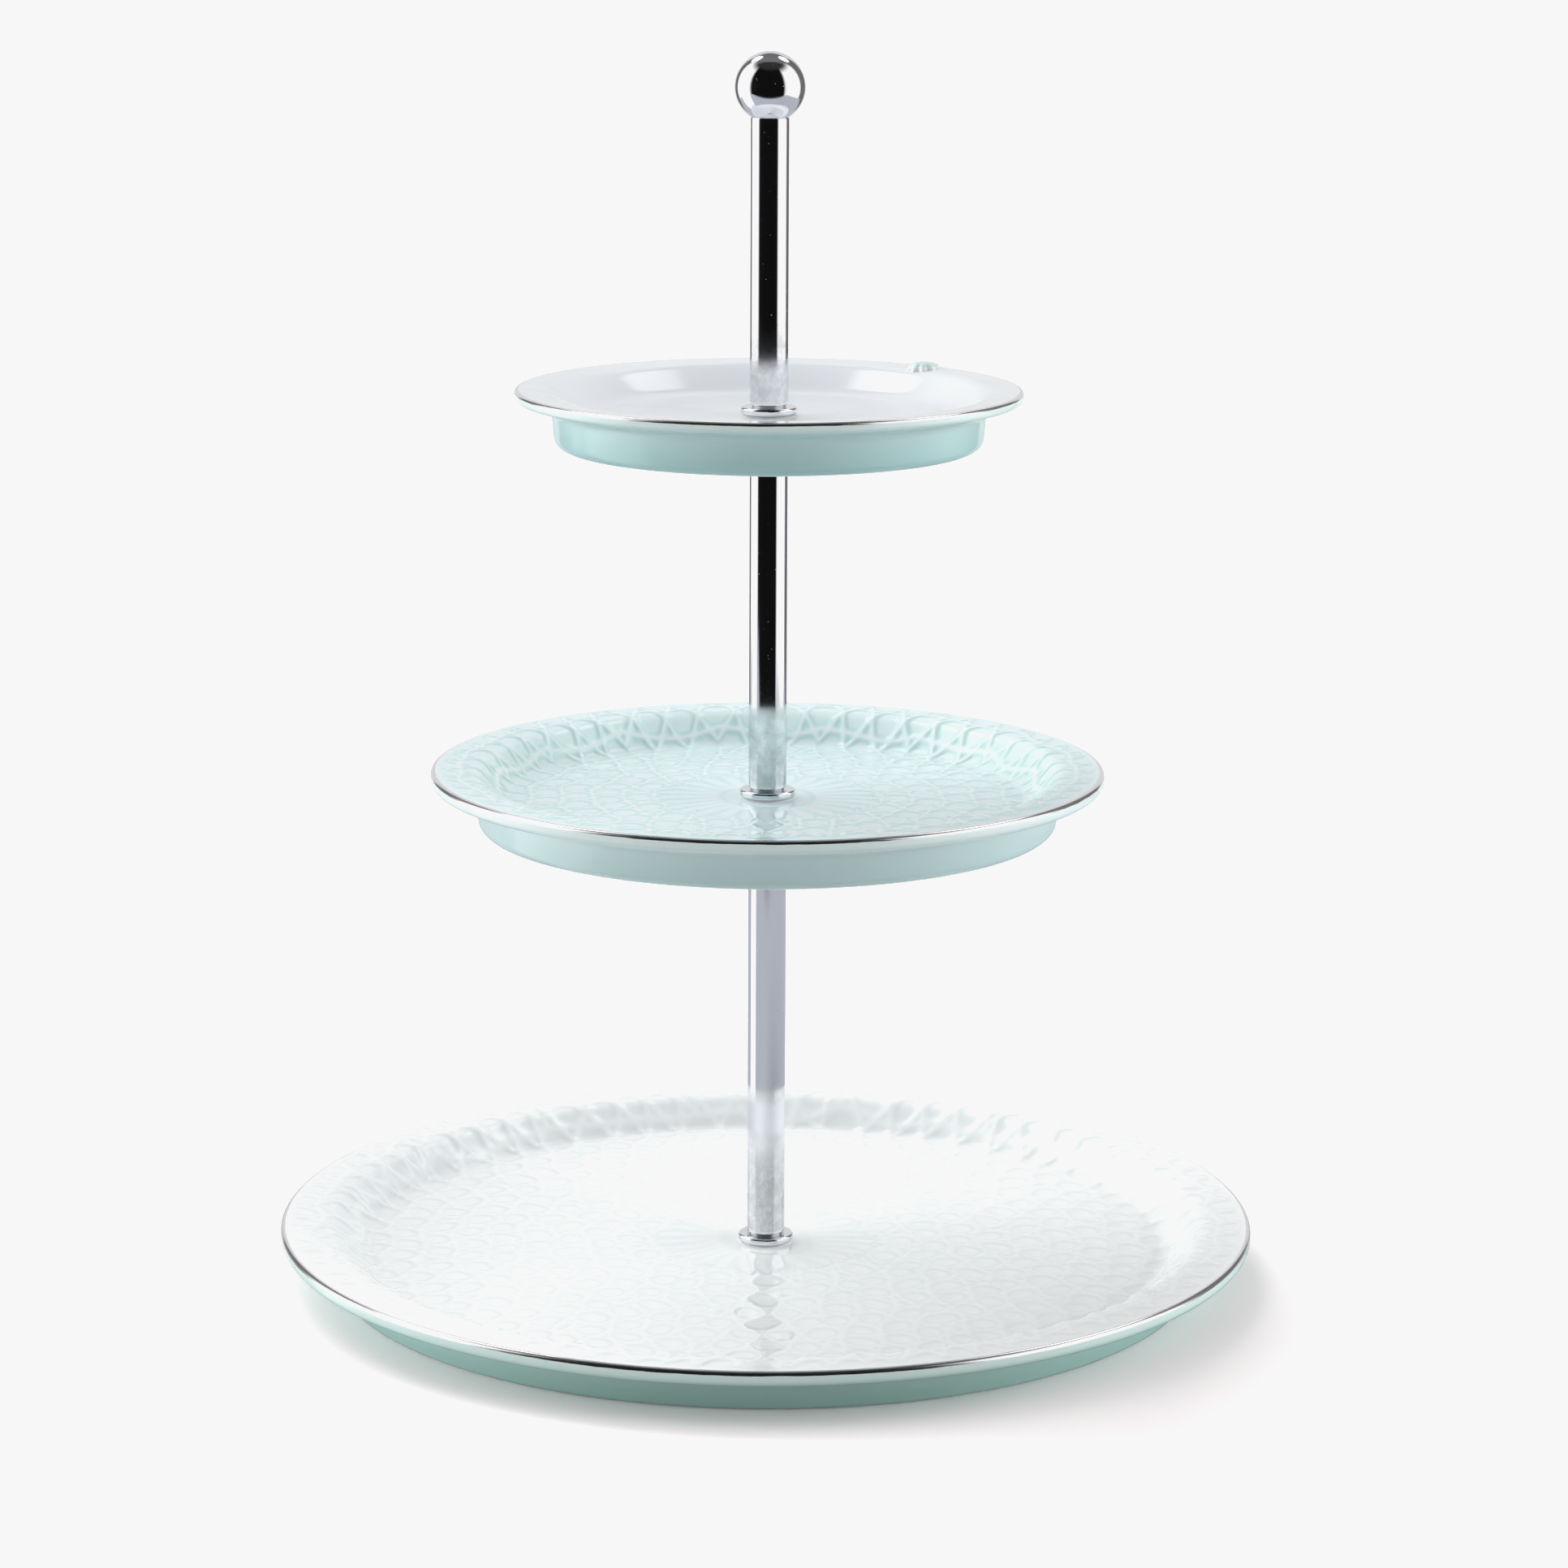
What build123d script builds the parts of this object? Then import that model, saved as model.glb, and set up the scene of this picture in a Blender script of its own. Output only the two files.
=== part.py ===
from build123d import *
import math
import os

# Tiered cake stand: three glazed porcelain plates on a chromed rod that screws together in three lengths.
# Millimetres, +Z up, origin on the table at the centre of the bottom plate's foot ring.

# Plates, from the table up. Radii run from the axis, heights from the plate's own foot.
plate_sizes = {
    "bottom": dict(
        rim_radius=155.0,       # outermost edge of the lip
        rim_width=16.0,         # lip to the shoulder where the well begins
        wall_run=10.6,          # shoulder to the edge of the flat floor
        well_depth=9.2,         # top of the lip down to the floor
        floor=4.2,              # thickness at the centre
        shoulder_drop=0.8,      # how far the rim dips from lip to shoulder
        shoulder_round=6.0,
        well_round=6.0,
        lip_depth=4.6,          # height of the lip's outer edge
        lip_round=1.6,
        lip_under_round=2.0,
        rim_fall=3.0,           # how far the rim's underside drops from lip to wall
        foot_taper=1.5,         # how far the foot ring leans in on its way down
        foot_round=1.5,
    ),
    "middle": dict(
        rim_radius=105.9,
        rim_width=14.2,
        wall_run=9.2,
        well_depth=10.0,
        floor=4.2,
        shoulder_drop=0.7,
        shoulder_round=6.0,
        well_round=6.0,
        lip_depth=4.2,
        lip_round=1.5,
        lip_under_round=1.8,
        rim_fall=2.8,
        foot_taper=0.7,
        foot_round=3.4,
    ),
    "top": dict(
        rim_radius=78.9,
        rim_width=11.4,
        wall_run=12.5,
        well_depth=8.5,
        floor=4.0,
        shoulder_drop=0.7,
        shoulder_round=9.0,
        well_round=12.0,
        lip_depth=3.2,
        lip_round=1.2,
        lip_under_round=1.4,
        rim_fall=2.8,
        foot_taper=1.0,
        foot_round=3.8,
    ),
}
middle_recess = 4.7             # hollow inside the middle plate's foot ring
top_recess = 5.7                # hollow inside the top plate's foot ring
foot_width = 5.0                # foot ring, outside to inside
foot_inner_round = 0.8
foot_inner_room = 0.9           # part of the foot's width kept for its inner round
lip_round_limit = 0.4           # most of the lip's depth that its upper round may take
lip_under_limit = 0.45          # and its lower round
recess_round = 2.0
under_rim_round = 3.0
hole_radius = 5.0               # centre hole of every plate
hole_round = 0.4

# Moulded bud on the top plate's rim
bud_angle = 47.0                # degrees from +X towards +Y
bud_inset = 6.2                 # centre of the bud, in from the lip
bud_radius = 5.8
bud_height = 1.9
bud_sink = 1.2                  # how deep its edge runs into the rim

# Rod
tube_radius = 6.0
tube_wall = 1.0
tube_edge_round = 0.3
tube_lengths = {"lower": 136.2, "middle": 111.7, "upper": 88.3}
plug_length = 14.0              # part of a plug that is pressed into its tube
neck_height = 0.6               # gap between flange and tube
neck_inset = 0.8                # neck radius below the tube's
spigot_radius = 4.0             # foot of the base plug that carries the flange

flange_radius = 8.8
flange_thickness = 2.4
flange_round = 0.8
support_radius = 9.5            # disc on the tube end that carries the plate above
support_thickness = 1.2

# Threaded joints, M6, drawn as plain cylinders
thread_radius = 3.0
thread_clearance = 0.05         # radial, stud or screw in a plug or the ball
pass_clearance = 0.3            # radial, stud or screw through discs and gaskets
stud_engagement = 10.0
thread_chamfer = 0.5

# Gaskets
cover_gasket_radius = 8.4       # soft washer on the plate, hidden by the flange
cover_gasket_thickness = 0.5
seat_gasket_radius = 10.0       # shouldered gasket under the plate
seat_gasket_thickness = 0.7
sleeve_clearance = 0.2          # radial, gasket sleeve in the plate's hole
sleeve_end_gap = 0.3            # sleeve stops short of the plate's upper face

# Base screw and washer
washer_radius = 9.0
washer_thickness = 1.0
head_radius = 5.6
head_height = 2.2
head_round = 1.4
head_clearance = 0.6            # screw head to the table
screw_length = 16.0             # under the head
recess_bar_length = 5.4         # cross recess in the head
recess_bar_width = 1.2
recess_bar_depth = 1.2

# Ball
ball_radius = 10.95
ball_flat_radius = 5.95         # flat that sits on the tube
ball_stud_depth = 8.0
ball_bore_end_gap = 1.0


def turned(outline):
    """Solid of revolution about Z from corners given as (radius, height, corner round)."""
    corners = [(radius, 0, height) for radius, height, _ in outline]
    rounds = [corner_round for _, _, corner_round in outline]
    if any(rounds):
        edge_line = FilletPolyline(*corners, radius=rounds, close=True)
    else:
        edge_line = Polyline(*corners, close=True)
    return revolve(make_face(edge_line.edges()), axis=Axis.Z)


def ring(inner, outer, low, high, outer_round=0):
    return turned([
        (inner, low, 0),
        (outer, low, outer_round),
        (outer, high, outer_round),
        (inner, high, 0),
    ])


def plate(size, foot, recess):
    floor_under = foot + recess
    floor_top = floor_under + size["floor"]
    lip_top = floor_top + size["well_depth"]
    lip_under = lip_top - size["lip_depth"]
    shoulder_radius = size["rim_radius"] - size["rim_width"]
    well_radius = shoulder_radius - size["wall_run"]
    foot_radius = shoulder_radius - size["foot_taper"]
    foot_inner = foot_radius - foot_width
    lip_round = min(size["lip_round"], lip_round_limit * size["lip_depth"])
    lip_under_round = min(size["lip_under_round"], lip_under_limit * size["lip_depth"])
    foot_round = min(size["foot_round"], foot_width - foot_inner_room)
    inner_round = min(foot_inner_round, foot_inner_room)
    return turned([
        (hole_radius, floor_under, hole_round),
        (foot_inner, floor_under, recess_round),
        (foot_inner, foot, inner_round),
        (foot_radius, foot, foot_round),
        (shoulder_radius, lip_under - size["rim_fall"], under_rim_round),
        (size["rim_radius"], lip_under, lip_under_round),
        (size["rim_radius"], lip_top, lip_round),
        (shoulder_radius, lip_top - size["shoulder_drop"], size["shoulder_round"]),
        (well_radius, floor_top, size["well_round"]),
        (hole_radius, floor_top, hole_round),
    ])


def rim_bud(size, lip_top):
    """Low dome that stands on the rim of the top plate."""
    dome_height = bud_height + bud_sink
    dome_radius = (bud_radius**2 + dome_height**2) / (2 * dome_height)
    base_height = lip_top - bud_sink
    dome = Pos(0, 0, dome_height - dome_radius) * Sphere(dome_radius)
    above_base = Pos(0, 0, dome_radius) * Box(4 * dome_radius, 4 * dome_radius, 2 * dome_radius)
    reach = size["rim_radius"] - bud_inset
    return Rot(0, 0, bud_angle) * Pos(reach, 0, base_height) * (dome & above_base)


def seat_gasket(floor_under, floor_top):
    """Shouldered gasket: a washer under the plate with a sleeve up through its hole."""
    bore = thread_radius + pass_clearance
    sleeve_radius = hole_radius - sleeve_clearance
    return turned([
        (bore, floor_under - seat_gasket_thickness, 0),
        (seat_gasket_radius, floor_under - seat_gasket_thickness, 0),
        (seat_gasket_radius, floor_under, 0),
        (sleeve_radius, floor_under, 0),
        (sleeve_radius, floor_top - sleeve_end_gap, 0),
        (bore, floor_top - sleeve_end_gap, 0),
    ])


def base_plug(flange_bottom, tube_bottom):
    """Threaded plug in a tube's lower end, with a neck and a spigot that carries the flange."""
    bore = thread_radius + thread_clearance
    neck_radius = tube_radius - neck_inset
    tube_bore = tube_radius - tube_wall
    return turned([
        (bore, flange_bottom, 0),
        (spigot_radius, flange_bottom, 0),
        (spigot_radius, flange_bottom + flange_thickness, 0),
        (neck_radius, flange_bottom + flange_thickness, 0),
        (neck_radius, tube_bottom, 0),
        (tube_bore, tube_bottom, 0),
        (tube_bore, tube_bottom + plug_length, 0),
        (bore, tube_bottom + plug_length, 0),
    ])


def head_plug(tube_top):
    return ring(thread_radius + thread_clearance, tube_radius - tube_wall, tube_top - plug_length, tube_top)


def stud(low, high):
    """Headless threaded rod with chamfered ends."""
    return turned([
        (0, low, 0),
        (thread_radius - thread_chamfer, low, 0),
        (thread_radius, low + thread_chamfer, 0),
        (thread_radius, high - thread_chamfer, 0),
        (thread_radius - thread_chamfer, high, 0),
        (0, high, 0),
    ])


def base_screw(head_top):
    """Pan head screw pointing up, with a cross recess in the face that looks at the table."""
    head_face = head_top - head_height
    tip = head_top + screw_length
    body = turned([
        (0, head_face, 0),
        (head_radius, head_face, head_round),
        (head_radius, head_top, 0),
        (thread_radius, head_top, 0),
        (thread_radius, tip - thread_chamfer, 0),
        (thread_radius - thread_chamfer, tip, 0),
        (0, tip, 0),
    ])
    for turn in (0, 90):
        bar = Box(recess_bar_length, recess_bar_width, 2 * recess_bar_depth)
        body = body - Rot(0, 0, turn) * Pos(0, 0, head_face) * bar
    return body


def ball(seat):
    """Ball with a flat underneath and a blind threaded bore."""
    centre = seat + math.sqrt(ball_radius**2 - ball_flat_radius**2)
    bore_top = seat + ball_stud_depth + ball_bore_end_gap
    below_seat = Pos(0, 0, seat - ball_radius) * Box(4 * ball_radius, 4 * ball_radius, 2 * ball_radius)
    bore_length = bore_top - seat
    bore = Pos(0, 0, seat + bore_length / 2) * Cylinder(thread_radius + thread_clearance, bore_length)
    return Pos(0, 0, centre) * Sphere(ball_radius) - below_seat - bore


bottom_recess = seat_gasket_thickness + washer_thickness + head_height + head_clearance
recesses = {"bottom": bottom_recess, "middle": middle_recess, "top": top_recess}
pass_bore = thread_radius + pass_clearance

nodes = {}
foot = 0.0
tube_top = 0.0
for tier, tube_name in zip(plate_sizes, tube_lengths):
    tube_below_top = tube_top
    size = plate_sizes[tier]
    floor_under = foot + recesses[tier]
    floor_top = floor_under + size["floor"]
    flange_bottom = floor_top + cover_gasket_thickness
    flange_top = flange_bottom + flange_thickness
    tube_bottom = flange_top + neck_height
    tube_top = tube_bottom + tube_lengths[tube_name]

    if tier != "bottom":
        # the stud comes up out of the tube below, through the plate and into this tube
        stud_low = tube_below_top - stud_engagement
        nodes[f"{tier}_joining_stud"] = stud(stud_low, flange_bottom + stud_engagement)

    nodes[f"{tier}_plate"] = plate(size, foot, recesses[tier])
    nodes[f"{tier}_seat_gasket"] = seat_gasket(floor_under, floor_top)
    nodes[f"{tier}_cover_gasket"] = ring(pass_bore, cover_gasket_radius, floor_top, flange_bottom)
    nodes[f"{tier}_flange"] = ring(spigot_radius, flange_radius, flange_bottom, flange_top, flange_round)
    nodes[f"{tube_name}_tube"] = ring(
        tube_radius - tube_wall, tube_radius, tube_bottom, tube_top, tube_edge_round
    )
    nodes[f"{tube_name}_tube_base_plug"] = base_plug(flange_bottom, tube_bottom)
    nodes[f"{tube_name}_tube_head_plug"] = head_plug(tube_top)

    if tier == "bottom":
        washer_low = floor_under - seat_gasket_thickness - washer_thickness
        nodes["base_washer"] = ring(pass_bore, washer_radius, washer_low, washer_low + washer_thickness)
        nodes["base_screw"] = base_screw(washer_low)

    if tier == "top":
        nodes["top_plate"] = nodes["top_plate"] + rim_bud(size, floor_top + size["well_depth"])
        nodes["ball_finial"] = ball(tube_top)
        nodes["finial_stud"] = stud(tube_top - stud_engagement, tube_top + ball_stud_depth)
    else:
        # this tube's upper end carries the next plate on a disc and a gasket
        next_tier = {"bottom": "middle", "middle": "top"}[tier]
        support_top = tube_top + support_thickness
        nodes[f"{next_tier}_support_disc"] = ring(pass_bore, support_radius, tube_top, support_top)
        foot = support_top + seat_gasket_thickness - recesses[next_tier]

os.makedirs("parts", exist_ok=True)
for name, shape in nodes.items():
    export_step(shape, f"parts/{name}.step")
    box = shape.bounding_box()
    print(f"{name:26s} z {box.min.Z:8.2f} to {box.max.Z:8.2f}  volume {shape.volume:10.1f}")
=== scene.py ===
from math import atan2, cos, exp, hypot, pi, radians, sin, tan

import bmesh
import bpy
from mathutils import Matrix, Vector


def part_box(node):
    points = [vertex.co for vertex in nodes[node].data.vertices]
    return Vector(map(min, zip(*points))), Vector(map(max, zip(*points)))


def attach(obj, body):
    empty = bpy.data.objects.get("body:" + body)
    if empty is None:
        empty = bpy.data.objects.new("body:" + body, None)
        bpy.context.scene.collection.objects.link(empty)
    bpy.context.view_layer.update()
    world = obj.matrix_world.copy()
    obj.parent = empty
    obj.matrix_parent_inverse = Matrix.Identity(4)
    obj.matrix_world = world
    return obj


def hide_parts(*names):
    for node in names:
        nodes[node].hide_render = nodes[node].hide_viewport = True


# Tiered cake stand: three glazed porcelain plates on a chromed rod with a ball on top.
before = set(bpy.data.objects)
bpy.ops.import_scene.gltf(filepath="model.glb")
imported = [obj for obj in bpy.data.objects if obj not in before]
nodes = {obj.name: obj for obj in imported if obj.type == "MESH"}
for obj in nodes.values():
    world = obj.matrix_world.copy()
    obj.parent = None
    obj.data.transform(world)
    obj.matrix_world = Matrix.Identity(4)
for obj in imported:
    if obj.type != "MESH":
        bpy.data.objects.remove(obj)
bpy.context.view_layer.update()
scene = bpy.context.scene
mm = 0.001


def paint(red, green, blue):
    # a display colour, 0 to 255, as the linear one that the shaders take
    levels = []
    for part in (red, green, blue):
        part = part / 255
        levels.append(part / 12.92 if part < 0.04 else ((part + 0.055) / 1.055) ** 2.4)
    return (*levels, 1.0)


class Signal:
    # a shader socket that adds and multiplies like a number
    def __init__(self, wiring, socket):
        self.wiring = wiring
        self.socket = socket

    def part(self, name):
        return Signal(self.wiring, self.socket.node.outputs[name])

    def __add__(self, other):
        return self.wiring.math("ADD", self, other)

    def __sub__(self, other):
        return self.wiring.math("SUBTRACT", self, other)

    def __rsub__(self, other):
        return self.wiring.math("SUBTRACT", other, self)

    def __mul__(self, other):
        return self.wiring.math("MULTIPLY", self, other)

    def __truediv__(self, other):
        return self.wiring.math("DIVIDE", self, other)

    def __pow__(self, other):
        return self.wiring.math("POWER", self, other)

    def __abs__(self):
        return self.wiring.math("ABSOLUTE", self, 0.0)

    __radd__ = __add__
    __rmul__ = __mul__


class Wiring:
    def __init__(self, tree):
        self.tree = tree
        tree.nodes.clear()

    def add(self, kind, settings=None, inputs=None, output=0):
        node = self.tree.nodes.new(kind)
        for name, value in (settings or {}).items():
            setattr(node, name, value)
        for name, value in (inputs or {}).items():
            if isinstance(value, Signal):
                self.tree.links.new(value.socket, node.inputs[name])
            else:
                node.inputs[name].default_value = value
        return Signal(self, node.outputs[output]) if len(node.outputs) else node

    def math(self, operation, first, second):
        return self.add("ShaderNodeMath", {"operation": operation}, {0: first, 1: second})

    def mix(self, factor, first, second):
        return self.add("ShaderNodeMix", {"data_type": "RGBA"}, {0: factor, 6: first, 7: second}, 2)

    def between(self, value, low, high):
        # 0 below low, 1 above high, smooth on the way
        return self.add(
            "ShaderNodeMapRange",
            {"interpolation_type": "SMOOTHSTEP"},
            {"Value": value, "From Min": low, "From Max": high},
        )

    def noise(self, scale, detail=2.0, vector=None, roughness=0.5):
        vector = vector or self.add("ShaderNodeTexCoord", output="Object")
        return self.add(
            "ShaderNodeTexNoise",
            {"noise_dimensions": "3D"},
            {"Vector": vector, "Scale": scale, "Detail": detail, "Roughness": roughness},
        )

    def place(self):
        # x, y and z on the stand, in metres
        axes = self.add(
            "ShaderNodeSeparateXYZ",
            inputs={"Vector": self.add("ShaderNodeTexCoord", output="Object")},
        )
        return [axes.part(name) for name in "XYZ"]

    def roundPlace(self):
        # distance from the stand's axis, and height
        x, y, z = self.place()
        return (x * x + y * y) ** 0.5, z

    def bump(self, height, distance, strength=1.0):
        return self.add(
            "ShaderNodeBump",
            inputs={"Strength": strength, "Distance": distance, "Height": height},
        )

    def finish(self, **inputs):
        sockets = {name.replace("_", " "): value for name, value in inputs.items()}
        shader = self.add("ShaderNodeBsdfPrincipled", inputs=sockets)
        self.add("ShaderNodeOutputMaterial", inputs={"Surface": shader})


def newMaterial(name):
    material = bpy.data.materials.new(name)
    material.use_nodes = True
    return material, Wiring(material.node_tree)


camera = {
    "lens": 110.17,
    "place": (0.0052, -1.4776, 0.4779),
    "lookDown": 12.187,         # degrees
    "roll": 0.267,
}
studio = {
    "backdrop": 0.93,           # display white, of the floor and of the brightest reflections
    "boxes": (                  # soft boxes: direction from the camera, half width, brightness
        (-98.0, 30.0, 1.40),
        (82.0, 32.0, 1.30),
    ),
    "boxEdge": 0.06,            # softness, as a cosine
    "boxTop": 52.0,             # degrees up
    "boxTopEdge": 12.0,
    "glints": (                 # small lamps up behind: direction, height, half width, brightness
        (-143.0, 50.0, 10.0, 2.6),
        (143.0, 50.0, 9.0, 2.2),
    ),
    "glintEdge": (0.006, 0.004),
    "backPanel": 0.62,
    "backHalfWidth": 28.0,
    "backEdge": 0.02,
    "backTop": 40.0,
    "backTopEdge": 5.0,
    "ceiling": 0.03,
    "ceilingFrom": (0.8, 0.93),
    "darkRoom": 0.006,          # what the metal mirrors between the boxes
    "backRoom": 0.17,           # and behind the stand
    "backRoomFrom": (-0.1, 0.5),
    "fill": 0.43,               # plain light from all round, for everything but mirror reflections
    "frontShade": 0.92,         # how much of it is missing low on the camera's side
    "frontShadeFrom": (0.2, 0.95),
    "frontShadeTop": (0.2, 0.75),
    "boxFill": 1.55,
    "sideFills": (8.0, 6.2),    # low down on the left and on the right, for the outer walls
    "sideFrom": (0.6, 1.0),
    "sideTop": (0.05, 0.35),
    "sun": 1.55,
    "sunSpread": 40.0,
    "sunFrom": (-0.54, 0.78, 1.0),
}
ground = {
    "radius": 40.0,
    "corners": 96,
    "white": (1.19, 1.12, 1.13, 1),     # as the camera sees it
    "bounce": (0.42, 0.42, 0.42, 1),    # what it throws back on the stand
}
tableTop = {                    # only shows as a reflection in the chrome and the glaze
    "left": -1.00,
    "right": 1.00,
    "halfDepth": 0.68,
    "lift": 0.0003,
    "fade": 0.22,
    "leftFrom": (-0.955, -0.90),    # it starts this far round from straight left, as a cosine
    "tone": (0.42, 0.435, 0.475, 1),
}


def makeCamera():
    lens = bpy.data.cameras.new("camera")
    lens.lens = camera["lens"]
    lens.sensor_width = 36
    lens.clip_start = 0.05
    lens.clip_end = 200
    eye = bpy.data.objects.new("camera", lens)
    eye.matrix_world = (
        Matrix.Translation(camera["place"])
        @ Matrix.Rotation(radians(90 - camera["lookDown"]), 4, "X")
        @ Matrix.Rotation(radians(camera["roll"]), 4, "Z")
    )
    scene.collection.objects.link(eye)
    scene.camera = eye


def around(middle, spread):
    # sines of two heights in degrees, below and above the middle one
    return sin(radians(middle - spread)), sin(radians(middle + spread))


def mirroredRoom(wiring, x, y, z, level, boxes):
    # what chrome and glaze mirror: the boxes, a panel behind, small lamps and a dim ceiling
    edge = cos(radians(studio["backHalfWidth"]))
    behind = wiring.between(y / level, edge - studio["backEdge"], edge + studio["backEdge"])
    backTop = 1 - wiring.between(z, *around(studio["backTop"], studio["backTopEdge"]))
    room = wiring.between(y / level, *studio["backRoomFrom"])
    room = room * (studio["backRoom"] - studio["darkRoom"]) + studio["darkRoom"]
    room = room + boxes + behind * backTop * studio["backPanel"]
    room = room + wiring.between(z, *studio["ceilingFrom"]) * studio["ceiling"]
    softer, harder = studio["glintEdge"]
    for turn, height, halfWidth, brightness in studio["glints"]:
        turn, height = radians(turn), radians(height)
        toward = x * (sin(turn) * cos(height)) - y * (cos(turn) * cos(height)) + z * sin(height)
        edge = cos(radians(halfWidth))
        room = room + wiring.between(toward, edge - softer, edge + harder) * brightness
    return room


def softLight(wiring, x, y, z, level, boxes):
    # what lights everything else: plain fill, the boxes, and two strips low at the sides
    lowFront = wiring.between(0 - y / level, *studio["frontShadeFrom"])
    lowFront = lowFront * (1 - wiring.between(z, *studio["frontShadeTop"]))
    leftFill, rightFill = studio["sideFills"]
    lowSides = wiring.between(0 - x / level, *studio["sideFrom"]) * leftFill
    lowSides = lowSides + wiring.between(x / level, *studio["sideFrom"]) * rightFill
    soft = (1 - lowFront * studio["frontShade"]) * studio["fill"] + boxes * studio["boxFill"]
    return soft + lowSides * (1 - wiring.between(z, *studio["sideTop"]))


def makeRoom():
    world = bpy.data.worlds.new("studio")
    world.use_nodes = True
    scene.world = world
    wiring = Wiring(world.node_tree)
    direction = wiring.add("ShaderNodeTexCoord", output="Generated")
    axes = wiring.add("ShaderNodeSeparateXYZ", inputs={"Vector": direction})
    x, y, z = (axes.part(name) for name in "XYZ")
    level = (x * x + y * y + 0.0001) ** 0.5     # never quite zero
    boxTop = 1 - wiring.between(abs(z), *around(studio["boxTop"], studio["boxTopEdge"]))
    boxes = 0.0
    for turn, halfWidth, brightness in studio["boxes"]:
        facing = (x * sin(radians(turn)) - y * cos(radians(turn))) / level
        edge = cos(radians(halfWidth))
        lit = wiring.between(facing, edge - studio["boxEdge"], edge + studio["boxEdge"])
        boxes = lit * boxTop * brightness + boxes
    mirrored = mirroredRoom(wiring, x, y, z, level, boxes)
    soft = softLight(wiring, x, y, z, level, boxes)
    rays = wiring.add("ShaderNodeLightPath")
    glossy = rays.part("Is Glossy Ray")
    seen = rays.part("Is Camera Ray")
    glow = mirrored * glossy + soft * (1 - glossy)
    glow = glow * (1 - seen) + seen * 1.0       # plain white behind the stand
    background = wiring.add(
        "ShaderNodeBackground", inputs={"Color": (1, 1, 1, 1), "Strength": glow},
    )
    wiring.add("ShaderNodeOutputWorld", inputs={"Surface": background})


def makeSun():
    light = bpy.data.lights.new("key", "SUN")
    light.energy = studio["sun"]
    light.angle = radians(studio["sunSpread"])
    sun = bpy.data.objects.new("key", light)
    sun.matrix_world = Vector(studio["sunFrom"]).to_track_quat("Z", "Y").to_matrix().to_4x4()
    sun.visible_glossy = False
    scene.collection.objects.link(sun)


def stageSheet(name, corners, material):
    # one flat face that is no part of the stand
    mesh = bpy.data.meshes.new(name)
    shape = bmesh.new()
    shape.faces.new([shape.verts.new(point) for point in corners])
    shape.to_mesh(mesh)
    shape.free()
    mesh.materials.append(material)
    piece = bpy.data.objects.new(name, mesh)
    scene.collection.objects.link(piece)
    return piece


def makeFloor():
    material, wiring = newMaterial("paleFloor")
    bounce, white = (
        wiring.add("ShaderNodeBsdfDiffuse", inputs={"Color": ground[tone]})
        for tone in ("bounce", "white")
    )
    seen = wiring.add("ShaderNodeLightPath", output="Is Camera Ray")
    both = wiring.add("ShaderNodeMixShader", inputs={0: seen, 1: bounce, 2: white})
    wiring.add("ShaderNodeOutputMaterial", inputs={"Surface": both})
    turns = [2 * pi * step / ground["corners"] for step in range(ground["corners"])]
    corners = [(ground["radius"] * cos(a), ground["radius"] * sin(a), 0) for a in turns]
    floor = stageSheet("floor", corners, material)
    floor.visible_glossy = False


def makeTableTop():
    left, right, deep = tableTop["left"], tableTop["right"], tableTop["halfDepth"]
    lift, fade = tableTop["lift"], tableTop["fade"]
    material, wiring = newMaterial("tableTone")
    x, y, _ = wiring.place()
    radius = (x * x + y * y) ** 0.5
    covered = wiring.between(x / radius, *tableTop["leftFrom"])
    covered = covered * (1 - wiring.between(x, right - fade, right))
    covered = covered * (1 - wiring.between(abs(y), deep - fade, deep))
    wiring.finish(
        Base_Color=tableTop["tone"], Roughness=1.0, Specular_IOR_Level=0.0, Alpha=covered,
    )
    corners = [(left, -deep, lift), (right, -deep, lift), (right, deep, lift), (left, deep, lift)]
    table = stageSheet("tableTop", corners, material)
    table.visible_camera = False
    table.visible_diffuse = False
    table.visible_shadow = False


def setDisplay():
    # everything brighter than white shows as the same pale tone
    view = scene.view_settings
    view.view_transform = "Standard"
    view.use_curve_mapping = True
    curve = view.curve_mapping.curves[3]        # the one for all three colours
    curve.points[-1].location = (1.0, studio["backdrop"])
    view.curve_mapping.extend = "HORIZONTAL"
    view.curve_mapping.update()


setDisplay()
makeCamera()
makeRoom()
makeSun()
makeFloor()
makeTableTop()
print("studio ready")


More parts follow.
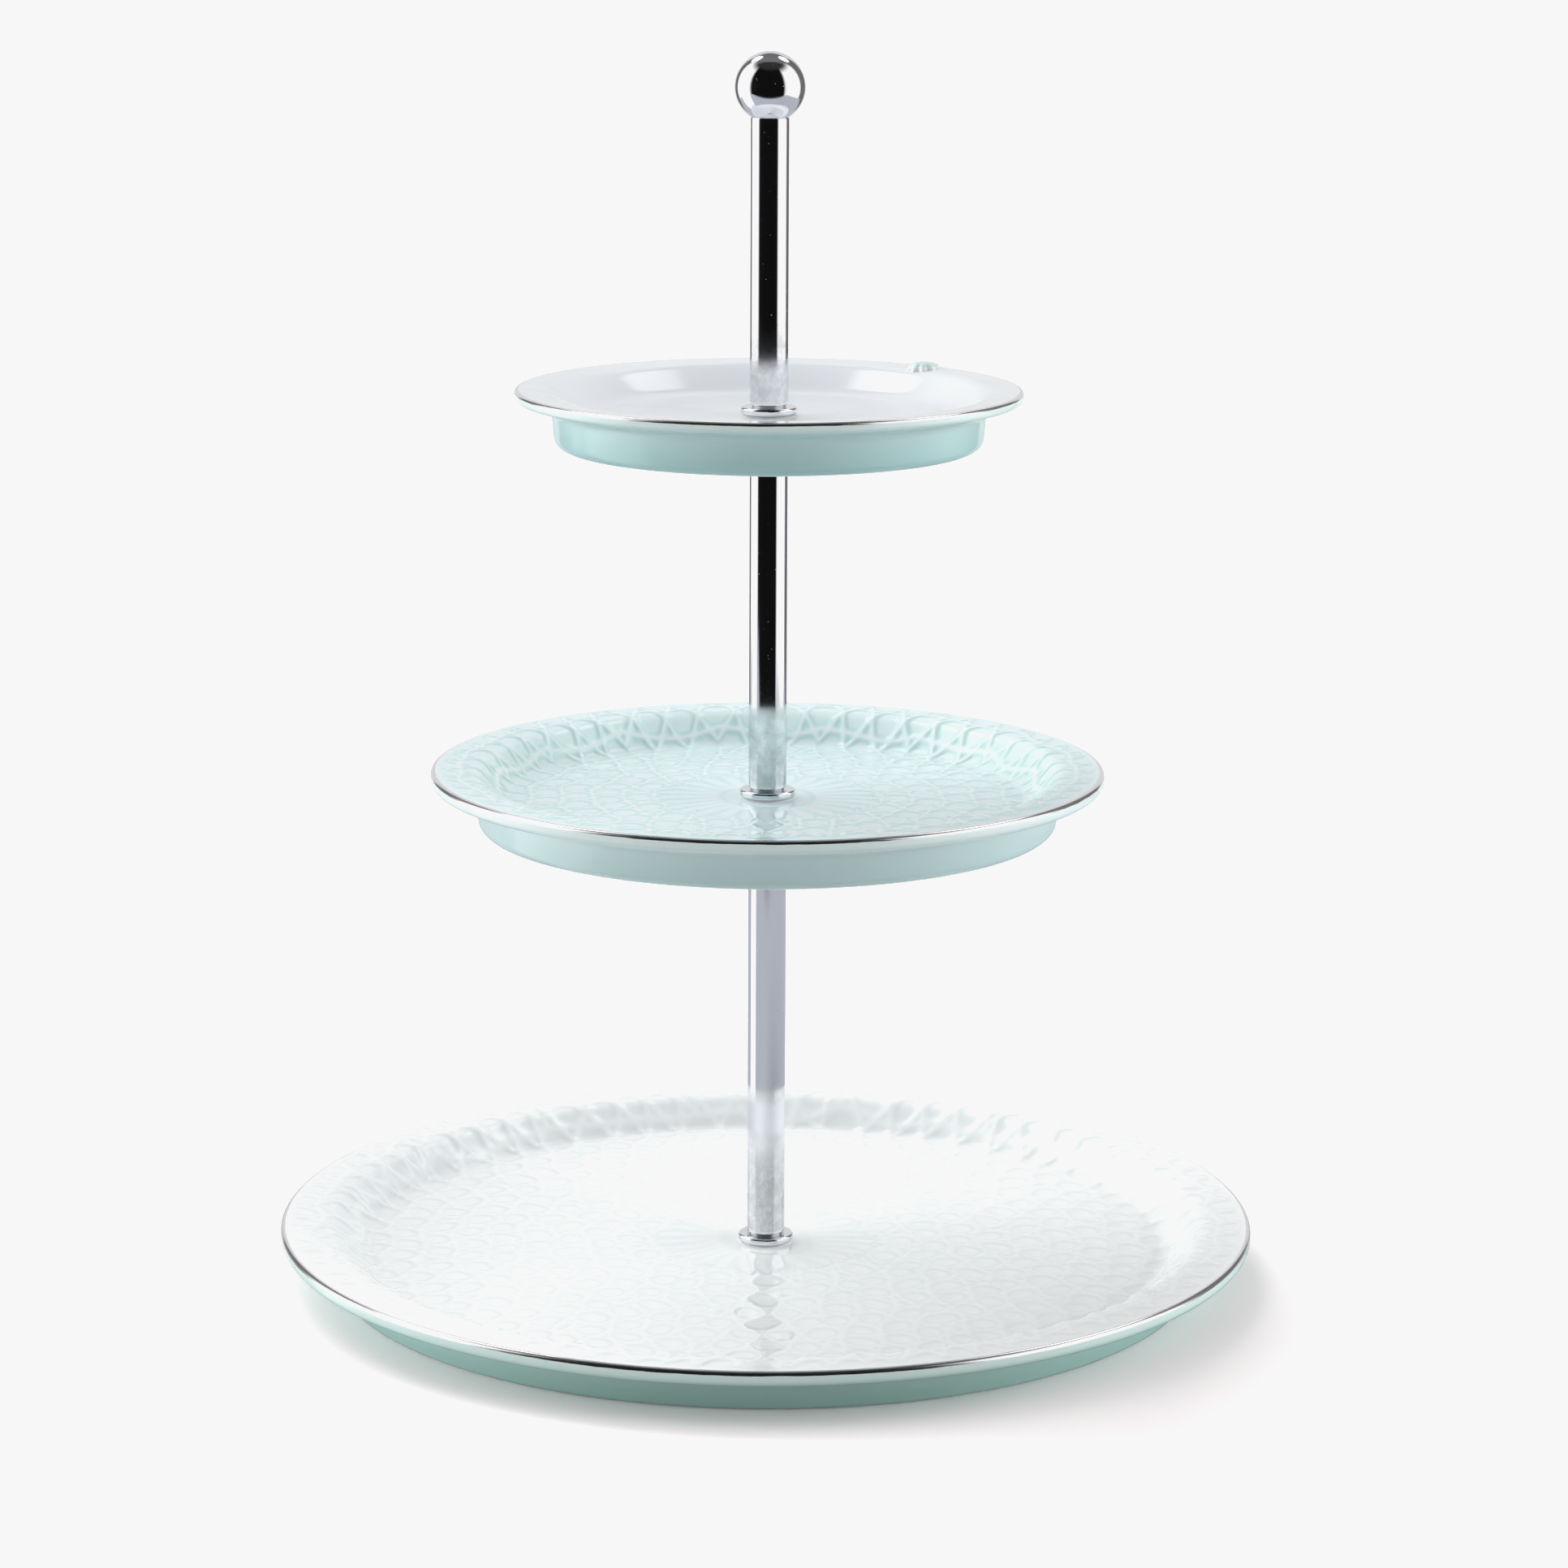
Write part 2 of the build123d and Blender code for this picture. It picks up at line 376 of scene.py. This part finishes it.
# sizes in millimetres, as the plates are made; radii and heights come from the frame
plates = {
    "bottom": {
        "rimWidth": 16.0, "wallRun": 10.6, "wellDepth": 9.2, "floor": 4.2,
        "shoulderDrop": 0.8, "shoulderRound": 6.0, "wellRound": 6.0,
        "lipDepth": 4.6, "lipRound": 1.6, "lipUnderRound": 2.0, "rimFall": 3.0,
        "footTaper": 1.5, "footRound": 1.5, "recess": 4.5,
        "spacing": 1.36,        # between rings of vertices
        "zones": (32.0, 64.0),  # where the number round changes
        "segments": (192, 384, 768), "underSegments": 384,
        "relief": {
            "height": 0.34, "wallHeight": 0.58, "cell": 10.5, "ridge": 1.35, "uneven": 1.5,
        },
        "body": "bottom_tier",
    },
    "middle": {
        "rimWidth": 14.2, "wallRun": 9.2, "wellDepth": 10.0, "floor": 4.2,
        "shoulderDrop": 0.7, "shoulderRound": 6.0, "wellRound": 6.0,
        "lipDepth": 4.2, "lipRound": 1.5, "lipUnderRound": 1.8, "rimFall": 2.8,
        "footTaper": 0.7, "footRound": 3.4, "recess": 4.7,
        "spacing": 0.95, "zones": (32.0, 64.0),
        "segments": (192, 384, 768), "underSegments": 384,
        "relief": {
            "height": 0.36, "wallHeight": 0.55, "cell": 10.0, "ridge": 1.0, "uneven": 0.7,
        },
        "body": "middle_tier",
    },
    "top": {
        "rimWidth": 11.4, "wallRun": 12.5, "wellDepth": 8.5, "floor": 4.0,
        "shoulderDrop": 0.7, "shoulderRound": 9.0, "wellRound": 12.0,
        "lipDepth": 3.2, "lipRound": 1.2, "lipUnderRound": 1.4, "rimFall": 2.8,
        "footTaper": 1.0, "footRound": 3.8, "recess": 5.7,
        "spacing": 1.6, "zones": (20.0,),
        "segments": (96, 256), "underSegments": 256,
        "relief": None,
        "body": "top_tier",
    },
}
allPlates = {
    "holeRadius": 5.0, "holeRound": 0.4, "recessRound": 2.0,
    "footWidth": 5.0, "footInnerRound": 0.8, "underRimRound": 3.0,
    "underSpacing": 8.0,
    "touch": 0.01,              # nearer than this counts as on the spot
}
net = {
    "wedges": 16, "petals": 28, "heart": 15.0, "turn": -90.0,
    "petalTip": 30.0, "petalBulge": 6.0,
    "petalRise": 16.0, "petalVein": 0.6, "heartLine": 0.3, "netFrom": 0.6,
    "wallStretch": 0.9,
    "waves": ((0.19, 0.11, 0), (0.17, 0.13, 1)),    # of the uneven lines
    "edge": 3.0,                # plain lip outside the net
    "edgeFade": 2.0,
}
facesUp = {"rim": 0.35, "inside": 0.02}     # how far up a normal points on the upper side


def measurePlate(tier, plate):
    low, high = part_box(f"{tier}_plate")
    plate["foot"] = low.z / mm
    plate["rimRadius"] = (high.x - low.x) / 2 / mm
    plate["floorUnder"] = plate["foot"] + plate["recess"]
    plate["floorTop"] = plate["floorUnder"] + plate["floor"]
    plate["lipTop"] = plate["floorTop"] + plate["wellDepth"]
    plate["shoulder"] = plate["rimRadius"] - plate["rimWidth"]
    plate["well"] = plate["shoulder"] - plate["wallRun"]


def plateOutline(plate):
    # corners as radius, height, round and steps in the round; the upper side comes first
    lipUnder = plate["lipTop"] - plate["lipDepth"]
    footRadius = plate["shoulder"] - plate["footTaper"]
    footInner = footRadius - allPlates["footWidth"]
    hole, holeRound = allPlates["holeRadius"], allPlates["holeRound"]
    upper = [
        (hole, plate["floorTop"], holeRound, 3),
        (plate["well"], plate["floorTop"], plate["wellRound"], 6),
        (plate["shoulder"], plate["lipTop"] - plate["shoulderDrop"], plate["shoulderRound"], 5),
        (plate["rimRadius"], plate["lipTop"], plate["lipRound"], 6),
        (plate["rimRadius"], lipUnder, plate["lipUnderRound"], 6),
    ]
    under = [
        (plate["shoulder"], lipUnder - plate["rimFall"], allPlates["underRimRound"], 5),
        (footRadius, plate["foot"], plate["footRound"], 6),
        (footInner, plate["foot"], allPlates["footInnerRound"], 4),
        (footInner, plate["floorUnder"], allPlates["recessRound"], 4),
        (hole, plate["floorUnder"], holeRound, 3),
    ]
    return upper + under


def roundedOutline(shape, corners):
    # a closed wire with every corner rounded to its own radius
    verts = [shape.verts.new((radius * mm, 0, height * mm)) for radius, height, _, _ in corners]
    for index, vert in enumerate(verts):
        shape.edges.new((vert, verts[(index + 1) % len(verts)]))
    offsets = []
    for index, (radius, height, cornerRound, steps) in enumerate(corners):
        before = Vector(corners[index - 1][:2]) - Vector((radius, height))
        after = Vector(corners[(index + 1) % len(corners)][:2]) - Vector((radius, height))
        offsets.append(cornerRound * mm / tan(before.angle(after) / 2))
    for vert, offset, corner in zip(verts, offsets, corners):
        bmesh.ops.bevel(
            shape, geom=[vert], offset=offset, offset_type="OFFSET", affect="VERTICES",
            segments=corner[3], profile=0.5, material=-1,
        )


def edgeRadius(edge):
    return sum(vert.co.x for vert in edge.verts) / 2 / mm


def splitLongEdges(shape, plate):
    # fine rings where the relief goes, wide ones underneath
    for edge in list(shape.edges):
        above = min(vert.co.z for vert in edge.verts) / mm > plate["floorTop"] - 0.1
        onRim = edgeRadius(edge) > plate["shoulder"] and not above
        spacing = plate["spacing"] if above and not onRim else allPlates["underSpacing"]
        cuts = int(edge.calc_length() / mm / spacing)
        if cuts > 0:
            bmesh.ops.subdivide_edges(shape, edges=[edge], cuts=cuts)


def cutOutline(shape, plate):
    # takes out the one edge at each change of segments, to be bridged once both sides are spun
    touch = allPlates["touch"]
    halfLip = plate["lipTop"] - plate["lipDepth"] / 2

    def onUpperSide(vert):
        radius, height = vert.co.x / mm, vert.co.z / mm
        inside = height > plate["floorTop"] - touch and radius < plate["shoulder"]
        return inside or height > halfLip

    upper = [edge for edge in shape.edges if all(onUpperSide(vert) for vert in edge.verts)]
    cuts = [min(upper, key=lambda edge: abs(edgeRadius(edge) - zone)) for zone in plate["zones"]]
    lip = [edge for edge in shape.edges if edgeRadius(edge) > plate["rimRadius"] - touch]
    cuts.append(max(lip, key=lambda edge: edge.calc_length()))
    hole = [edge for edge in shape.edges if edgeRadius(edge) < allPlates["holeRadius"] + touch]
    cuts.append(max(hole, key=lambda edge: edge.calc_length()))
    bmesh.ops.delete(shape, geom=cuts, context="EDGES_FACES")
    for vert in [vert for vert in shape.verts if not vert.link_edges]:
        shape.verts.remove(vert)


def wirePieces(shape):
    # the runs of joined vertices, always in the same order
    found = set()
    pieces = []
    for start in shape.verts:
        if start in found:
            continue
        found.add(start)
        reached = [start]
        for vert in reached:
            for edge in vert.link_edges:
                other = edge.other_vert(vert)
                if other not in found:
                    found.add(other)
                    reached.append(other)
        pieces.append(reached)
    return pieces


def spinPiece(shape, verts, segments):
    # one sixteenth is spun, then doubled four times
    doublings = 4
    shares = 2 ** doublings
    share = 2 * pi / shares
    edges = dict.fromkeys(edge for vert in verts for edge in vert.link_edges)
    count = len(shape.verts)
    bmesh.ops.spin(
        shape, geom=[*verts, *edges], cent=(0, 0, 0), axis=(0, 0, 1),
        angle=share, steps=segments // shares,
    )
    shape.verts.ensure_lookup_table()
    turned = list(verts) + shape.verts[count:]
    for doubling in range(doublings):
        faces = dict.fromkeys(face for vert in turned for face in vert.link_faces)
        copied = bmesh.ops.duplicate(shape, geom=list(faces))["geom"]
        copies = [part for part in copied if isinstance(part, bmesh.types.BMVert)]
        turn = Matrix.Rotation(share * 2 ** doubling, 3, "Z")
        bmesh.ops.rotate(shape, cent=(0, 0, 0), verts=copies, matrix=turn)
        turned += copies


def openRings(shape):
    found = set()
    rings = []
    for start in shape.edges:
        if start in found or not start.is_boundary:
            continue
        found.add(start)
        ring = [start]
        for edge in ring:
            for vert in edge.verts:
                for other in vert.link_edges:
                    if other.is_boundary and other not in found:
                        found.add(other)
                        ring.append(other)
        rings.append(ring)
    return rings


def ringPlace(ring):
    vert = ring[0].verts[0].co
    return Vector((hypot(vert.x, vert.y), vert.z))


def bridgeRings(shape):
    # joins each open ring to the one nearest to it
    rings = openRings(shape)
    while rings:
        first = rings.pop()
        nearest = min(rings, key=lambda ring: (ringPlace(ring) - ringPlace(first)).length)
        rings.remove(nearest)
        bmesh.ops.bridge_loops(shape, edges=first + nearest)


def bell(distance, width):
    return exp(-((distance / width) ** 2))


def folded(angle, count):
    # angle from the middle of its wedge, mirrored, and the wedge's half width
    half = pi / count
    return abs((angle + half) % (2 * half) - half), half


def netAt(radius, fold, plate):
    # three sets of straight ridges in a mirrored wedge, 0 to 1
    cell, ridge = plate["relief"]["cell"], plate["relief"]["ridge"]
    well = plate["well"]
    reach = radius if radius < well else well + (radius - well) * net["wallStretch"]
    along, across = reach * cos(fold), reach * sin(fold)
    hollow = 1.0
    for turn in (0, pi / 3, 2 * pi / 3):
        line = (along * cos(turn) + across * sin(turn)) / cell
        hollow *= 1 - bell(abs(line % 1 - 0.5) * cell, ridge)
    return 1 - hollow


def reliefAt(x, y, plate):
    # the net, with a ring of petals round the middle, 0 to 1
    ridge, uneven = plate["relief"]["ridge"], plate["relief"]["uneven"]
    (xWave, xSlow, xStart), (yWave, ySlow, yStart) = net["waves"]
    x, y = (
        x + uneven * sin(y * xWave + sin(x * xSlow) + xStart),
        y + uneven * sin(x * yWave + sin(y * ySlow) + yStart),
    )
    radius = hypot(x, y)
    angle = atan2(y, x) - radians(net["turn"])
    fold, _ = folded(angle, net["wedges"])
    petalFold, petalHalf = folded(angle, net["petals"])
    vein = bell(radius * sin(petalHalf - petalFold), ridge)
    tip = net["petalTip"] + net["petalBulge"] * cos(petalFold / petalHalf * pi / 2)
    tipLine = bell(radius - tip, ridge)
    heart = bell(radius - net["heart"], ridge)
    inPetals = net["heart"] < radius < tip
    rise = min(1, max(0, (radius - net["heart"]) / net["petalRise"])) * net["petalVein"]
    petals = 1 - (1 - vein * inPetals * rise) * (1 - tipLine) * (1 - heart * net["heartLine"])
    outside = 1 / (1 + exp(-(radius - tip) / net["netFrom"]))
    return petals * (1 - outside) + max(netAt(radius, fold, plate), tipLine) * outside


def pressRelief(shape, plate, upperSide, ridgeHeight):
    # marks the upper side, then lifts the relief out of it
    relief = plate["relief"]
    for vert in shape.verts:
        x, y = vert.co.xy / mm
        radius = hypot(x, y)
        needed = facesUp["rim" if radius > plate["rimRadius"] - 2 else "inside"]
        onTop = vert.normal.z > needed
        vert[upperSide] = float(onTop)
        if relief and onTop:
            fromEdge = plate["rimRadius"] - net["edge"] - radius
            fade = min(1, max(0, fromEdge / net["edgeFade"]))
            raised = reliefAt(x, y, plate) * fade
            vert[ridgeHeight] = raised
            height = relief["wallHeight" if radius > plate["well"] - 1 else "height"]
            vert.co += vert.normal * height * raised * mm


def pieceFrom(shape, name, material, body):
    mesh = bpy.data.meshes.new(name)
    shape.to_mesh(mesh)
    shape.free()
    for face in mesh.polygons:
        face.use_smooth = True
    mesh.materials.append(material)
    piece = bpy.data.objects.new(name, mesh)
    scene.collection.objects.link(piece)
    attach(piece, body)
    return piece


def makePlate(tier, plate, material):
    shape = bmesh.new()
    roundedOutline(shape, plateOutline(plate))
    splitLongEdges(shape, plate)
    cutOutline(shape, plate)
    for wire in wirePieces(shape):
        middle = sum(vert.co.x for vert in wire) / len(wire) / mm
        zone = sum(middle > edge for edge in plate["zones"])
        under = min(vert.co.z for vert in wire) / mm < plate["floorUnder"] + 0.1
        spinPiece(shape, wire, plate["underSegments"] if under else plate["segments"][zone])
    bmesh.ops.remove_doubles(shape, verts=shape.verts[:], dist=allPlates["touch"] * mm)
    bridgeRings(shape)
    bmesh.ops.recalc_face_normals(shape, faces=shape.faces[:])
    shape.normal_update()
    upperSide = shape.verts.layers.float.new("upperSide")
    ridgeHeight = shape.verts.layers.float.new("ridgeHeight")
    pressRelief(shape, plate, upperSide, ridgeHeight)
    print(tier, "plate:", len(shape.verts), "vertices")
    piece = pieceFrom(shape, f"{tier}_plate_glazed", material, plate["body"])
    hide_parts(f"{tier}_plate")


# glaze colours: ridge tops, inside, where it gathers, wall inside, outside, low down, thin; the
# darker low down tone and the darker tone on the wall are partly painted shade
glazes = {
    "bottom": {
        "crest": paint(243, 243, 243), "inside": paint(240, 241, 242),
        "pool": paint(228, 232, 234), "wall": paint(227, 230, 232),
        "outside": paint(194, 224, 218), "low": paint(164, 203, 196), "thin": paint(212, 230, 227),
        "bandInner": 153.6, "bandDepth": 1.25,      # the platinum line on the lip
    },
    "middle": {
        "crest": paint(236, 242, 244), "inside": paint(219, 233, 237),
        "pool": paint(186, 219, 214), "wall": paint(218, 234, 234),
        "outside": paint(206, 227, 228), "low": paint(182, 209, 210), "thin": paint(224, 236, 235),
        "bandInner": 104.4, "bandDepth": 1.1,
    },
    "top": {
        "crest": paint(230, 232, 235), "inside": paint(220, 224, 228),
        "pool": paint(210, 216, 222), "wall": paint(220, 224, 229),
        "outside": paint(200, 227, 226), "low": paint(166, 202, 203), "thin": paint(222, 237, 235),
        "bandInner": 77.6, "bandDepth": 0.95,
    },
}
allGlazes = {
    "biscuit": paint(222, 216, 205), "biscuitSpeck": paint(206, 198, 186),      # unglazed foot
    "platinum": (0.86, 0.84, 0.86, 1),
    # the wall's darkening, the second number, is partly gathered glaze and partly painted shade
    "gatherAtRidge": 2.6, "gatherAndShadeOnWall": 0.12, "gatherInCloud": 0.3, "crestShare": 0.5,
    "thinOnLip": 0.8, "thinOnFoot": 0.85,
    "gloss": 0.07, "glossCloud": 0.05, "glossBare": 0.55, "glossBand": 0.06, "glassIndex": 1.52,
    "peel": 0.06, "grit": 0.4, "bumpDepth": 0.00016, "bumpStrength": 0.6,
}


def insideColour(wiring, glaze, plate, radius, ridge, cloud):
    # whiter on the ridges; glaze gathers beside them and a little on the wall, where the darker
    # tone is partly painted shade
    well, shoulder = plate["well"] * mm, plate["shoulder"] * mm
    onWall = wiring.between(radius, well - 3 * mm, well + 2 * mm)
    onWall = onWall * (1 - wiring.between(radius, shoulder - 3 * mm, shoulder + 2 * mm))
    # the wall's own tone, darker than the floor on the bottom plate: partly glaze, partly painted
    # shade
    colour = wiring.mix(onWall, glaze["inside"], glaze["wall"])
    gathered = ridge * (1 - ridge) * allGlazes["gatherAtRidge"] + onWall * allGlazes["gatherAndShadeOnWall"]
    gathered = gathered + cloud * allGlazes["gatherInCloud"] - 0.12
    colour = wiring.mix(wiring.between(gathered, 0.0, 1.0), colour, glaze["pool"])
    return wiring.mix(ridge * ridge * allGlazes["crestShare"], colour, glaze["crest"])


def outsideColour(wiring, glaze, plate, radius, z, cloud):
    # deeper and darker low down, partly the glaze and partly painted shade; thin and pale on the
    # lip and at the foot's edge
    foot, lipTop = plate["foot"] * mm, plate["lipTop"] * mm
    lipUnder = lipTop - plate["lipDepth"] * mm
    shoulder = plate["shoulder"] * mm
    # painted shade in part: the outside darkens from under the lip down to the foot
    lowGlazeAndShade = 1 - wiring.between(z + cloud * 1.2 * mm, foot, lipUnder)
    colour = wiring.mix(lowGlazeAndShade, glaze["outside"], glaze["low"])
    thinLip = wiring.between(z + cloud * 0.8 * mm, lipUnder, lipTop - 1.5 * mm)
    onLip = wiring.between(radius, shoulder + 6 * mm, shoulder + 9 * mm)
    colour = wiring.mix(thinLip * onLip * allGlazes["thinOnLip"], colour, glaze["thin"])
    footEdge = 1 - wiring.between(z, foot + 0.35 * mm, foot + 0.8 * mm)
    return wiring.mix(footEdge * allGlazes["thinOnFoot"], colour, glaze["thin"])


def glazeMaterial(tier, glaze, plate):
    material, wiring = newMaterial(f"{tier}Glaze")
    radius, z = wiring.roundPlace()
    upper = wiring.add("ShaderNodeAttribute", {"attribute_name": "upperSide"}, output="Fac")
    ridge = wiring.add("ShaderNodeAttribute", {"attribute_name": "ridgeHeight"}, output="Fac")
    cloud = wiring.noise(22.0, 3.0)
    speck = wiring.noise(900.0, 2.0)
    inside = insideColour(wiring, glaze, plate, radius, ridge, cloud)
    outside = outsideColour(wiring, glaze, plate, radius, z, cloud)
    colour = wiring.mix(upper, outside, inside)

    # the foot's bare edge
    foot, lipTop = plate["foot"] * mm, plate["lipTop"] * mm
    bare = (1 - wiring.between(z, foot + 0.1 * mm, foot + 0.3 * mm)) * (1 - upper)
    specks = wiring.between(speck, 0.35, 0.7)
    clay = wiring.mix(specks, allGlazes["biscuit"], allGlazes["biscuitSpeck"])
    colour = wiring.mix(bare, colour, clay)

    # platinum line over the lip, not quite even
    waver = wiring.noise(160.0, 1.0) * 0.3 * mm
    bandInner, bandLow = glaze["bandInner"] * mm, lipTop - glaze["bandDepth"] * mm
    band = wiring.between(radius + waver, bandInner + 0.05 * mm, bandInner + 0.25 * mm)
    band = band * wiring.between(z + waver, bandLow, bandLow + 0.2 * mm)
    colour = wiring.mix(band, colour, allGlazes["platinum"])

    roughness = cloud * allGlazes["glossCloud"] + allGlazes["gloss"]
    roughness = roughness + bare * allGlazes["glossBare"] + band * allGlazes["glossBand"]
    ripple = wiring.noise(75.0, 1.0)
    orangePeel = wiring.noise(420.0, 2.0)
    height = ripple + orangePeel * allGlazes["peel"] + speck * bare * allGlazes["grit"]
    wiring.finish(
        Base_Color=colour, Metallic=band, Roughness=roughness, IOR=allGlazes["glassIndex"],
        Normal=wiring.bump(height, allGlazes["bumpDepth"], allGlazes["bumpStrength"]),
    )
    return material


for tier, plate in plates.items():
    measurePlate(tier, plate)
    makePlate(tier, plate, glazeMaterial(tier, glazes[tier], plate))


# the moulded bud on the top plate's rim, sizes in millimetres
bud = {
    "angle": 47.0,
    "inset": 6.2,               # in from the lip's edge
    "radius": 5.7,
    "height": 1.9,
    "sink": 1.2,
    "flutes": 10,
    "fluteDepth": 0.16,
    "crownFrom": 0.75,          # the crown is pressed a little flat above this share of its height
    "crownPress": 0.4,
    "steps": (96, 32),
    "crownColour": paint(196, 218, 214),
    "sideColour": paint(226, 231, 233),
    "crownHeights": (0.6, 1.2),
}


def budMaterial(lipTop):
    material, wiring = newMaterial("budGlaze")
    z = wiring.place()[2] + wiring.noise(500.0) * 0.4 * mm
    low, high = ((lipTop + height) * mm for height in bud["crownHeights"])
    crown = wiring.between(z, low, high)
    wiring.finish(
        Base_Color=wiring.mix(crown, bud["sideColour"], bud["crownColour"]),
        Roughness=0.08 + wiring.noise(60.0) * 0.06, IOR=allGlazes["glassIndex"],
        Normal=wiring.bump(wiring.noise(300.0), 0.0001, 0.5),
    )
    return material


def makeBud():
    plate = plates["top"]
    stepsRound, stepsUp = bud["steps"]
    shape = bmesh.new()
    bmesh.ops.create_uvsphere(shape, u_segments=stepsRound, v_segments=stepsUp, radius=1.0)
    bmesh.ops.bisect_plane(
        shape, geom=shape.verts[:] + shape.edges[:] + shape.faces[:], plane_co=(0, 0, 0),
        plane_no=(0, 0, -1), clear_outer=True,
    )
    for vert in shape.verts:
        level = vert.co.z
        turn = atan2(vert.co.y, vert.co.x)
        between = (1 - cos(turn * bud["flutes"])) / 2
        flute = 1 - bud["fluteDepth"] * between * (1 - level) ** 0.5
        vert.co.x *= flute
        vert.co.y *= flute
        vert.co.z = level - bud["crownPress"] * max(0, level - bud["crownFrom"])
    rim = max(vert.co.z for vert in shape.verts)
    wide = bud["radius"] * mm
    tall = (bud["height"] + bud["sink"]) / rim * mm
    bmesh.ops.scale(shape, vec=(wide, wide, tall), verts=shape.verts[:])
    reach = (plate["rimRadius"] - bud["inset"]) * mm
    base = (plate["lipTop"] - bud["sink"]) * mm
    bmesh.ops.translate(shape, vec=(reach, 0, base), verts=shape.verts[:])
    bearing = Matrix.Rotation(radians(bud["angle"]), 3, "Z")
    bmesh.ops.rotate(shape, cent=(0, 0, 0), matrix=bearing, verts=shape.verts[:])
    bmesh.ops.holes_fill(shape, edges=[edge for edge in shape.edges if edge.is_boundary])
    bmesh.ops.recalc_face_normals(shape, faces=shape.faces[:])
    material = budMaterial(plate["lipTop"])
    piece = pieceFrom(shape, "top_plate_bud", material, "top_tier")
    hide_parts("top_plate")


makeBud()
print("bud ready")


chromed = {
    "clean": (0.86, 0.87, 0.90, 1), "smeared": (0.80, 0.81, 0.85, 1),
    # the grey of the grainy zone above each plate is partly wear, partly a painted reflection of
    # the plate
    "dust": paint(205, 205, 208), "wearAndPaintedReflection": (0.60, 0.61, 0.62, 1),
    "wearAndReflectionFrom": (4, 5), "wearAndReflectionTo": (22, 34),     # above each plate's floor, in millimetres
    "gloss": 0.035,
}
turnedMetals = {                # light and dark colour, bloom's and lathe lines' scale, roughness
    "zincedSteel": {
        "light": (0.62, 0.64, 0.68, 1), "dark": (0.48, 0.49, 0.52, 1),
        "bloom": 160.0, "lathe": 2600.0, "rough": 0.24, "latheRough": 0.06,
    },
    "turnedBrass": {
        "light": (0.80, 0.58, 0.26, 1), "dark": (0.58, 0.40, 0.17, 1),
        "bloom": 140.0, "lathe": 2400.0, "rough": 0.2, "latheRough": 0.0,
    },
}


def dress(material, *names):
    for name in names:
        for materialSlot in nodes[name].material_slots:
            materialSlot.material = material


def wearAndReflectionZones(wiring, z):
    # a grainy, greyer zone on the rod just above each plate: partly wear, partly a painted
    # reflection of the plate
    low, lowEnd = chromed["wearAndReflectionFrom"]
    high, highEnd = chromed["wearAndReflectionTo"]
    wearAndPaintedReflection = 0.0
    for plate in plates.values():
        floorTop = plate["floorTop"] * mm
        start = wiring.between(z, floorTop + low * mm, floorTop + lowEnd * mm)
        stop = wiring.between(z, floorTop + high * mm, floorTop + highEnd * mm)
        wearAndPaintedReflection = wearAndPaintedReflection + start * (1 - stop)
    return wearAndPaintedReflection


def chromeMaterial():
    material, wiring = newMaterial("polishedChrome")
    z = wiring.place()[2]
    smear = wiring.noise(38.0, 4.0)
    dust = wiring.between(wiring.noise(1400.0, 1.0), 0.74, 0.80)
    stretched = wiring.add(
        "ShaderNodeMapping", inputs={
            "Vector": wiring.add("ShaderNodeTexCoord", output="Object"), "Scale": (1.0, 1.0, 0.03),
        },
    )
    drawnLines = wiring.noise(1500.0, 3.0, stretched)
    wearAndPaintedReflection = wearAndReflectionZones(wiring, z)
    grain = wiring.between(wiring.noise(260.0, 5.0, roughness=0.7), 0.3, 0.65)
    colour = wiring.mix(smear, chromed["clean"], chromed["smeared"])
    # painted reflection of the plate, with some wear, in the grainy zone above each plate
    colour = wiring.mix(wearAndPaintedReflection * grain, colour, chromed["wearAndPaintedReflection"])
    colour = wiring.mix(dust * 0.5, colour, chromed["dust"])
    roughness = smear * 0.05 + chromed["gloss"] + dust * 0.3 + wearAndPaintedReflection * 0.05
    wiring.finish(
        Base_Color=colour, Metallic=1 - dust * 0.4, Roughness=roughness,
        Normal=wiring.bump(drawnLines, 0.000003, 0.5),
    )
    return material


def turnedMaterial(name):
    # metal off the lathe, with fine rings and a cloudy bloom
    metal = turnedMetals[name]
    material, wiring = newMaterial(name)
    radius, z = wiring.roundPlace()
    rings = wiring.add(
        "ShaderNodeCombineXYZ", inputs={"X": radius * metal["lathe"], "Y": z * metal["lathe"]},
    )
    lathe = wiring.noise(1.0, 3.0, rings)
    bloom = wiring.noise(metal["bloom"], 4.0)
    roughness = bloom * 0.2 + metal["rough"] + lathe * metal["latheRough"]
    wiring.finish(
        Base_Color=wiring.mix(bloom, metal["light"], metal["dark"]),
        Metallic=1.0, Roughness=roughness, Normal=wiring.bump(lathe, 0.00001, 0.6),
    )
    return material


def rubberMaterial():
    material, wiring = newMaterial("clearGasket")
    cloud = wiring.noise(120.0, 3.0)
    colour = wiring.mix(cloud, paint(232, 233, 230), paint(212, 214, 211))
    wiring.finish(
        Base_Color=colour, Roughness=0.38 + cloud * 0.2, Subsurface_Weight=0.15, IOR=1.43,
        Normal=wiring.bump(wiring.noise(900.0, 2.0), 0.00002, 0.6),
    )
    return material


chrome = chromeMaterial()
steel = turnedMaterial("zincedSteel")
dress(chrome, "lower_tube", "middle_tube", "upper_tube", "ball_finial")
dress(chrome, "bottom_flange", "middle_flange", "top_flange")
dress(steel, "base_washer", "base_screw", "middle_support_disc", "top_support_disc")
dress(steel, "middle_joining_stud", "top_joining_stud", "finial_stud")
brass = turnedMaterial("turnedBrass")
for rod in ("lower", "middle", "upper"):
    dress(steel, f"{rod}_tube_base_plug")
    dress(brass, f"{rod}_tube_head_plug")
rubber = rubberMaterial()
for tier in plates:
    dress(rubber, f"{tier}_seat_gasket", f"{tier}_cover_gasket")
print("metal ready")
